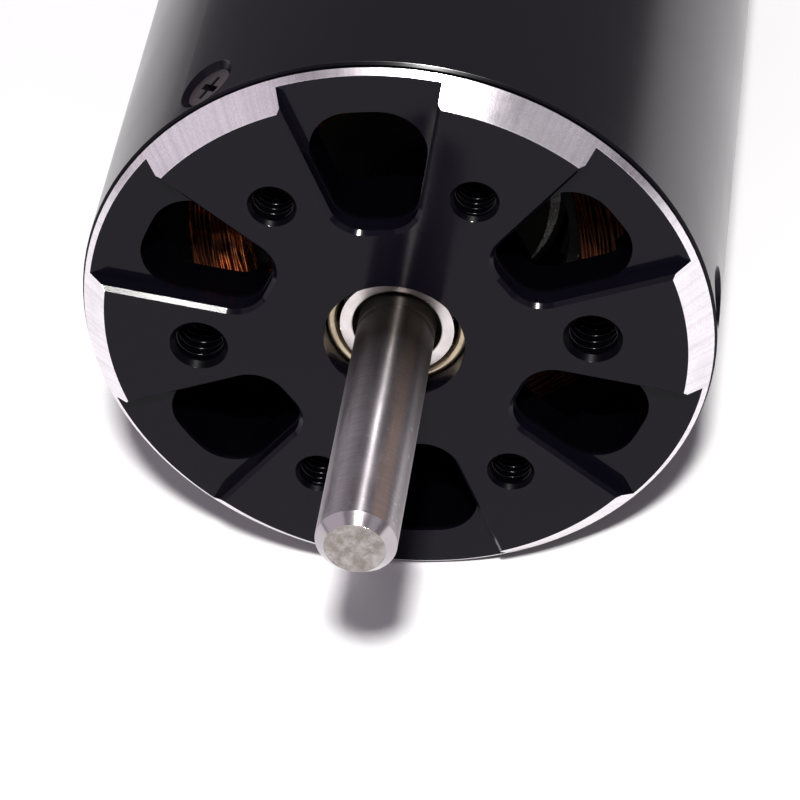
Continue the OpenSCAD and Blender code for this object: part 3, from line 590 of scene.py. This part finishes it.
def copper_wire(looks):
    """Enamelled copper: lacquer over a warm metal, darkened in random patches of dip varnish, and with
    painted shade on the side with positive X and on the outer turns of the lower half.
    """
    made = Finish("enamelled_copper_wire")
    tone = made.grain(scale=900.0, detail=2.0)
    patch = made.grain(scale=300.0, detail=2.0, roughness=0.5)
    browned = toned(looks.copper, 0.35, 0.27, 0.22)
    base = made.mix(made.ramp(tone, 0.35, 0.65, to_high=0.8), looks.copper, browned)
    # Painted shade on the side with positive X, and on the outer turns of the lower half; the noise patches
    # are dip varnish
    side_from, side_to = -8.0 * MM, 4.0 * MM
    outer_from, outer_to = 21.4 * MM, 22.1 * MM
    low_to, low_from = 2.0 * MM, 3.2 * MM
    side = made.ramp(made.x, side_from, side_to)
    outer = made.ramp(made.radius, outer_from, outer_to)
    low = made.ramp(made.z, low_to, low_from, 1.0, 0.0)
    patches = made.calc("ADD", made.ramp(patch, 0.42, 0.62), made.calc("MULTIPLY", outer, low))
    dimmed = made.calc("ADD", patches, side, clamp=True)
    made.set(
        base_color=made.mix(made.calc("MULTIPLY", dimmed, 0.93), base, looks.varnish_and_shade),
        metallic=made.ramp(dimmed, 0.0, 1.0, 1.0, 0.4),
        roughness=made.ramp(tone, *USUAL, 0.2, 0.34),
        specular_ior_level=made.ramp(dimmed, 0.0, 1.0, 0.5, 0.1),
        coat_weight=made.ramp(dimmed, 0.0, 1.0, 0.3, 0.02),
        coat_roughness=0.15,
    )
    return made.bump(tone, distance=0.004 * MM)


# Added pieces

# Corners of a square, in order
CORNERS = ((-1, -1), (1, -1), (1, 1), (-1, 1))
# Steps through each corner of a turn
BEND_STEPS = 4
# Waves that make a turn stray: how many, their size, their widest start, and the limits of their sum
WAVES = 4
WAVE_SIZE = 0.5
WAVE_START = 6.28
LIFT_LIMITS = (-0.5, 0.8)
SHIFT_LIMITS = (-0.3, 0.6)


def held(value, low, high):
    """Value kept between two limits."""
    return max(low, min(high, value))


def to_motor(point, angle):
    """A point of a coil (outward, sideways, along the axis), turned onto its tooth."""
    out, side, along = point
    return Vector((
        out * math.cos(angle) - side * math.sin(angle),
        along,
        -(out * math.sin(angle) + side * math.cos(angle)),
    ))


def loop_places(width, reach):
    """Places around one turn: share of the turn, side, place along the axis, angle of the bend.

    A turn has four corners. The stretches across the core's ends have steps too, the long ones have none.
    """
    steps = 2 * BEND_STEPS
    places = []
    for corner, (across, along) in enumerate(CORNERS):
        for step in range(BEND_STEPS + 1):
            angle = math.radians(180 + 90 * (corner + step / BEND_STEPS))
            places.append(((corner + step / steps) / len(CORNERS), across * width, along * reach, angle))
        if corner % 2 == 0:
            for step in range(1, BEND_STEPS):
                part = (corner + (BEND_STEPS + step) / steps) / len(CORNERS)
                places.append((part, across * width * (1 - 2 * step / BEND_STEPS), along * reach, angle))
    return places


def coil_route(sizes, seed):
    """Points of one unbroken wire, wound turn by turn and layer by layer around a tooth."""
    stray = random.Random(seed)
    middle = (CORE_LOW[1] + CORE_HIGH[1]) / 2
    half_core = (CORE_HIGH[1] - CORE_LOW[1]) / 2
    places = loop_places(sizes.half_width - sizes.corner, half_core + sizes.end_gap - sizes.corner)
    span = sizes.turn_pitch * (sizes.turns - 1)
    rear = middle + half_core + sizes.end_gap + sizes.layers * sizes.layer_pitch + sizes.tail
    points = [(sizes.first_radius, -sizes.half_width, rear)]
    for layer in range(sizes.layers):
        for loop in range(sizes.turns):
            waves = [(stray.gauss(0.0, WAVE_SIZE), stray.uniform(0.0, WAVE_START)) for _ in range(WAVES)]
            for part, side, along, angle in places:
                sway = sum(a * math.sin(2 * math.pi * (k + 1) * part + b) for k, (a, b) in enumerate(waves))
                passed = min(span, sizes.turn_pitch * (loop + part))
                radius = sizes.first_radius + (passed if layer % 2 == 0 else span - passed)
                climb = sizes.layer_pitch * (layer + (part if loop == sizes.turns - 1 else 0.0))
                lift = 0.5 * sizes.disorder * held(sway * math.cos(angle), *LIFT_LIMITS)
                bend = sizes.corner + climb + lift
                sideways = side + bend * math.cos(angle)
                lengthways = along + bend * math.sin(angle)
                past_core = held((abs(lengthways) - half_core) / sizes.end_gap, 0.0, 1.0)
                middle_share = max(0.0, math.cos(math.pi / 2 * sideways / (sizes.half_width + climb)))
                radius += held(sway, *SHIFT_LIMITS) * sizes.disorder + past_core * middle_share * sizes.bow
                points.append((radius, sideways, middle + lengthways))
    out, side, _ = points[-1]
    points.append((out, side, rear))
    return points


def start_tree(name, **inputs):
    """Geometry tree with a mesh and these numbers as its inputs; returns it and their sockets."""
    tree = bpy.data.node_groups.new(name, "GeometryNodeTree")
    sockets = tree.interface
    sockets.new_socket("Geometry", in_out="INPUT", socket_type="NodeSocketGeometry")
    for label, kind in inputs.items():
        sockets.new_socket(label.replace("_", " "), in_out="INPUT", socket_type=f"NodeSocket{kind}")
    sockets.new_socket("Geometry", in_out="OUTPUT", socket_type="NodeSocketGeometry")
    return tree, list(tree.nodes.new("NodeGroupInput").outputs)[:len(inputs) + 1]


def end_tree(tree, shape, material):
    """Makes a tree's shape real, gives it its material and returns the tree."""
    real = node(tree, "GeometryNodeRealizeInstances", {0: shape})
    done = node(tree, "GeometryNodeSetMaterial", {"Geometry": real, "Material": material})
    tree.links.new(done, tree.nodes.new("NodeGroupOutput").inputs[0])
    return tree


def swept(tree, curve, points, radius):
    """Smooth round rod along a curve, closed at both ends."""
    section = node(tree, "GeometryNodeCurvePrimitiveCircle", {"Resolution": points, "Radius": radius})
    rod = node(tree, "GeometryNodeCurveToMesh", {
        "Curve": curve, "Profile Curve": section, "Fill Caps": True,
    })
    return node(tree, "GeometryNodeSetShadeSmooth", {0: rod})


def wire_tree(material):
    """Geometry nodes that sweep a round wire along a route."""
    tree, (route, radius, sides) = start_tree("Swept Wire", Wire_Radius="Float", Sides="Int")
    curve = node(tree, "GeometryNodeMeshToCurve", {0: route})
    return end_tree(tree, swept(tree, curve, sides, radius), material)


def thread_tree(material):
    """Geometry nodes that put a spiral ridge in each of two opposite holes."""
    tree, (_, holes, circle, wall, ridge, turns, reach, first, angle) = start_tree(
        "Thread Ridges", Holes="Int", Circle_Radius="Float", Wall_Radius="Float", Ridge="Float",
        Turns="Float", Reach="Float", Start="Float", Angle="Float",
    )
    points_per_turn, section_points = 24, 8
    spiral = node(tree, "GeometryNodeCurveSpiral", {
        "Resolution": points_per_turn, "Rotations": turns,
        "Start Radius": wall, "End Radius": wall, "Height": reach,
    })
    laid = node(tree, "GeometryNodeTransform", {
        "Geometry": swept(tree, spiral, section_points, ridge),
        "Translation": vector_of(tree, y=first), "Rotation": (math.radians(-90), 0.0, 0.0),
    })
    places = node(tree, "GeometryNodeMeshLine", {
        "Count": holes,
        "Start Location": vector_of(tree, x=calc(tree, "MULTIPLY", circle, -1.0)),
        "Offset": vector_of(tree, x=calc(tree, "MULTIPLY", circle, 2.0)),
    })
    placed = node(tree, "GeometryNodeInstanceOnPoints", {"Points": places, "Instance": laid})
    turned = node(tree, "GeometryNodeTransform", {"Geometry": placed, "Rotation": vector_of(tree, y=angle)})
    return end_tree(tree, turned, material)


def run_tree(name, mesh, tree, values):
    """Object whose plain mesh is what the tree makes of a mesh with these named values."""
    holder = bpy.data.objects.new(name + "_source", mesh)
    bpy.context.scene.collection.objects.link(holder)
    modifier = holder.modifiers.new("Shape", "NODES")
    modifier.node_group = tree
    for item in tree.interface.items_tree:
        if item.in_out == "INPUT" and item.name in values:
            modifier[item.identifier] = values[item.name]
    graph = bpy.context.evaluated_depsgraph_get()
    plain = bpy.data.meshes.new_from_object(holder.evaluated_get(graph))
    bpy.data.objects.remove(holder)
    made = bpy.data.objects.new(name, plain)
    bpy.context.scene.collection.objects.link(made)
    return made


class MOTOR_OT_finish_housing(bpy.types.Operator):
    """Gives the can, the bells, the screws and the grommets their finishes"""

    bl_idname = "motor.finish_housing"
    bl_label = "Finish Housing"

    def execute(self, context):
        """Assigns the housing's materials."""
        looks = context.scene.motor_housing
        give(can_finish(looks), "can")
        give(bell_finish(looks), "front_bell", "rear_bell")
        give(screw_finish(looks), "can_screws")
        give(moulded("grommet_rubber", looks.rubber, roughness=0.6), "lead_grommets")
        return {"FINISHED"}


class MOTOR_OT_finish_bearings(bpy.types.Operator):
    """Gives both bearings, the shaft and the spring parts their finishes"""

    bl_idname = "motor.finish_bearings"
    bl_label = "Finish Bearings and Shaft"

    def execute(self, context):
        """Assigns the materials of the bearings and of the shaft."""
        looks = context.scene.motor_bearing
        ring = ring_finish(looks)
        shield = turned_metal(
            "warm_shield_sheet", looks.shield,
            roughness=0.22, line_scale=4000.0, depth=0.0015 * MM, worn=0.4,
        )
        ball = plain_metal(
            "polished_balls", looks.ball, roughness=0.08, grain_scale=900.0, depth=0.0002 * MM,
        )
        cage = plain_metal("pressed_cage", looks.cage, roughness=0.35)
        spring = plain_metal("dark_spring_steel", looks.spring, roughness=0.35)
        for end in ("front", "rear"):
            give(ring, f"{end}_bearing_outer_ring", f"{end}_bearing_inner_ring")
            give(shield, f"{end}_bearing_shields")
            give(ball, f"{end}_bearing_balls")
            give(cage, f"{end}_bearing_cage")
        give(shaft_finish(looks), "shaft")
        give(spring, "wave_washer", "retaining_ring")
        return {"FINISHED"}


class MOTOR_OT_finish_stator(bpy.types.Operator):
    """Gives the stator's and the rotor's inner pieces their finishes"""

    bl_idname = "motor.finish_stator"
    bl_label = "Finish Stator and Rotor"

    def execute(self, context):
        """Assigns the materials of the inner pieces."""
        looks = context.scene.motor_stator
        # Painted shade: end frames darkened
        end_frame = moulded("shade_darkened_end_frame", looks.end_frame, roughness=0.5, level=0.12)
        film = moulded("slot_film", looks.film, roughness=0.5, grain_scale=900.0)
        board = moulded("slot_board", looks.board, roughness=0.7, grain_scale=1200.0)
        # Painted shade: rotor steel darkened to near black
        rotor = turned_metal(
            "shade_darkened_rotor_steel", looks.rotor, roughness=0.5, line_scale=3500.0, depth=0.003 * MM,
        )
        spacer = turned_metal(
            "turned_spacer", looks.spacer, roughness=0.3, line_scale=4000.0, depth=0.002 * MM,
        )
        give(stacked_sheets(looks), "stator_core")
        give(end_frame, "front_end_frame", "rear_end_frame")
        give(film, "slot_liners")
        give(board, "slot_wedges")
        give(rotor, "rotor_core", "rotor_sleeve", "front_balance_ring", "rear_balance_ring")
        give(plain_metal("magnet_plating", looks.magnet, roughness=0.25), "rotor_magnets")
        give(spacer, "front_spacer", "rear_spacer")
        return {"FINISHED"}


class MOTOR_OT_wind_coils(bpy.types.Operator):
    """Winds two opposite coils for each phase"""

    bl_idname = "motor.wind_coils"
    bl_label = "Wind Coils"

    def execute(self, context):
        """Makes one piece for each phase."""
        sizes = context.scene.motor_coil
        tree = wire_tree(copper_wire(context.scene.motor_stator).material)
        values = {"Wire Radius": sizes.wire / 2, "Sides": sizes.sides}
        for number, phase in enumerate(("phase_a", "phase_b", "phase_c")):
            mesh = bpy.data.meshes.new(phase)
            points, edges = [], []
            for side in range(2):
                tooth = math.pi * side + 2 * math.pi * number / sizes.teeth
                route = [to_motor(p, tooth) for p in coil_route(sizes, sizes.seed + 2 * number + side)]
                first = len(points)
                points += route
                edges += [(first + i, first + i + 1) for i in range(len(route) - 1)]
            mesh.from_pydata(points, edges, [])
            coils = run_tree(f"{phase}_coils", mesh, tree, values)
            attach(coils, "housing")
            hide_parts(f"{phase}_winding")
        return {"FINISHED"}


class MOTOR_OT_cut_threads(bpy.types.Operator):
    """Puts thread ridges in the bolt holes"""

    bl_idname = "motor.cut_threads"
    bl_label = "Cut Threads"

    def execute(self, context):
        """Makes a piece for each pair of opposite holes, the wide pair first."""
        sizes = context.scene.motor_thread
        housing = context.scene.motor_housing
        # Painted shade: the ridges are darkened inside the holes
        black = anodised("shade_darkened_thread_black", sizes.black, housing.dust, sizes.roughness, sizes.level)
        tree = thread_tree(black.material)
        for number in range(BOLT_HOLES // 2):
            wall, pitch = (sizes.core, sizes.pitch) if number else (sizes.wide_core, sizes.wide_pitch)
            name = f"bolt_threads_{number}"
            ridges = run_tree(name, bpy.data.meshes.new(name), tree, {
                "Holes": 2, "Circle Radius": housing.hole_circle, "Wall Radius": wall, "Ridge": sizes.ridge,
                "Turns": sizes.reach / pitch, "Reach": sizes.reach, "Start": sizes.start,
                "Angle": math.radians(360 / BOLT_HOLES * number),
            })
            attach(ridges, "housing")
        return {"FINISHED"}


def add_lamp(name, place, size, power, colour=(1.0, 1.0, 1.0)):
    """Soft square lamp that points at the origin."""
    data = bpy.data.lights.new(name, "AREA")
    data.size = size
    data.energy = power
    data.color = colour
    lamp = bpy.data.objects.new(name, data)
    lamp.location = place
    lamp.rotation_euler = (-Vector(place)).to_track_quat("-Z", "Y").to_euler()
    bpy.context.scene.collection.objects.link(lamp)


def add_floor(looks):
    """Wide matt floor under the can."""
    half, level = looks.floor_half, CAN_LOW[2]
    mesh = bpy.data.meshes.new("floor")
    mesh.from_pydata([(half * x, half * y, level) for x, y in CORNERS], [], [(0, 1, 2, 3)])
    pale = bpy.data.materials.new("pale_floor")
    pale.use_nodes = True
    shader = pale.node_tree.nodes["Principled BSDF"]
    shader.inputs["Base Color"].default_value = rgba(looks.floor)
    shader.inputs["Roughness"].default_value = 0.9
    mesh.materials.append(pale)
    floor = bpy.data.objects.new("floor", mesh)
    bpy.context.scene.collection.objects.link(floor)


def dim_room(looks):
    """World that lights and reflects dimly, and is plain white to the camera."""
    world = bpy.data.worlds.new("studio")
    world.use_nodes = True
    tree = world.node_tree
    sky = tree.nodes["Background"]
    seen = tree.nodes.new("ShaderNodeLightPath").outputs["Is Camera Ray"]
    tree.links.new(blend_colours(tree, seen, looks.room, (1.0, 1.0, 1.0)), sky.inputs["Color"])
    tree.links.new(blend_values(tree, seen, looks.sky, 1.0), sky.inputs["Strength"])
    return world


def add_camera(looks):
    """Camera at the photograph's place, with its turn given by three angles."""
    data = bpy.data.cameras.new("camera")
    data.lens = looks.lens
    data.sensor_width = 36.0
    data.clip_start = 0.01
    camera = bpy.data.objects.new("camera", data)
    level = Vector((-math.sin(looks.azimuth), math.cos(looks.azimuth), 0.0))
    ahead = level * math.cos(looks.elevation) - Vector((0.0, 0.0, math.sin(looks.elevation)))
    right = ahead.cross(Vector((0.0, 0.0, 1.0))).normalized()
    down = ahead.cross(right)
    side = right * math.cos(looks.roll) + down * math.sin(looks.roll)
    up = (-ahead).cross(side)
    rows = zip(side, up, -ahead, looks.place)
    camera.matrix_world = Matrix((*rows, (0.0, 0.0, 0.0, 1.0)))
    bpy.context.scene.collection.objects.link(camera)
    return camera


class MOTOR_OT_light_studio(bpy.types.Operator):
    """Sets the floor, the lamps and the camera"""

    bl_idname = "motor.light_studio"
    bl_label = "Light Studio"

    def execute(self, context):
        """Makes the stage."""
        scene = context.scene
        looks = scene.motor_studio
        add_floor(looks)
        scene.world = dim_room(looks)
        add_lamp("key", place=(0.172, -0.718, 0.946), size=0.09, power=looks.key, colour=(1.0, 0.985, 0.97))
        add_lamp("left", place=(-0.64, -0.325, 0.35), size=0.7, power=looks.left, colour=(0.98, 0.9, 0.97))
        add_lamp("right", place=(0.57, -0.43, 0.36), size=0.35, power=looks.right)
        scene.camera = add_camera(looks)
        scene.view_settings.view_transform = "Standard"
        return {"FINISHED"}


class MOTOR_PT_panel(bpy.types.Panel):
    """Lists the steps that dress the motor."""

    bl_idname = "MOTOR_PT_panel"
    bl_label = "Brushless Motor"
    bl_space_type = "VIEW_3D"
    bl_region_type = "UI"
    bl_category = "Motor"

    def draw(self, context):
        """Draws each step with its settings."""
        scene = context.scene
        for operator, settings in (
            ("motor.finish_housing", scene.motor_housing),
            ("motor.finish_bearings", scene.motor_bearing),
            ("motor.finish_stator", scene.motor_stator),
            ("motor.wind_coils", scene.motor_coil),
            ("motor.cut_threads", scene.motor_thread),
            ("motor.light_studio", scene.motor_studio),
        ):
            box = self.layout.box()
            for name in settings.bl_rna.properties.keys():
                if name not in {"rna_type", "name"}:
                    box.prop(settings, name)
            box.operator(operator)


CLASSES = (
    HousingLooks, BearingLooks, StatorLooks, CoilSizes, ThreadSizes, StudioLooks,
    MOTOR_OT_finish_housing, MOTOR_OT_finish_bearings, MOTOR_OT_finish_stator,
    MOTOR_OT_wind_coils, MOTOR_OT_cut_threads, MOTOR_OT_light_studio, MOTOR_PT_panel,
)
SETTINGS = {
    "motor_housing": HousingLooks, "motor_bearing": BearingLooks, "motor_stator": StatorLooks,
    "motor_coil": CoilSizes, "motor_thread": ThreadSizes, "motor_studio": StudioLooks,
}


def register():
    """Registers the classes and hangs their settings on the scene."""
    for made in CLASSES:
        bpy.utils.register_class(made)
    for name, group in SETTINGS.items():
        setattr(bpy.types.Scene, name, bpy.props.PointerProperty(type=group))


def unregister():
    """Takes the settings and the classes away again."""
    for name in SETTINGS:
        delattr(bpy.types.Scene, name)
    for made in reversed(CLASSES):
        bpy.utils.unregister_class(made)


def main():
    """Dresses the motor."""
    register()
    bpy.ops.motor.finish_housing()
    bpy.ops.motor.finish_bearings()
    bpy.ops.motor.finish_stator()
    bpy.ops.motor.wind_coils()
    bpy.ops.motor.cut_threads()
    bpy.ops.motor.light_studio()


if __name__ == "__main__":
    main()
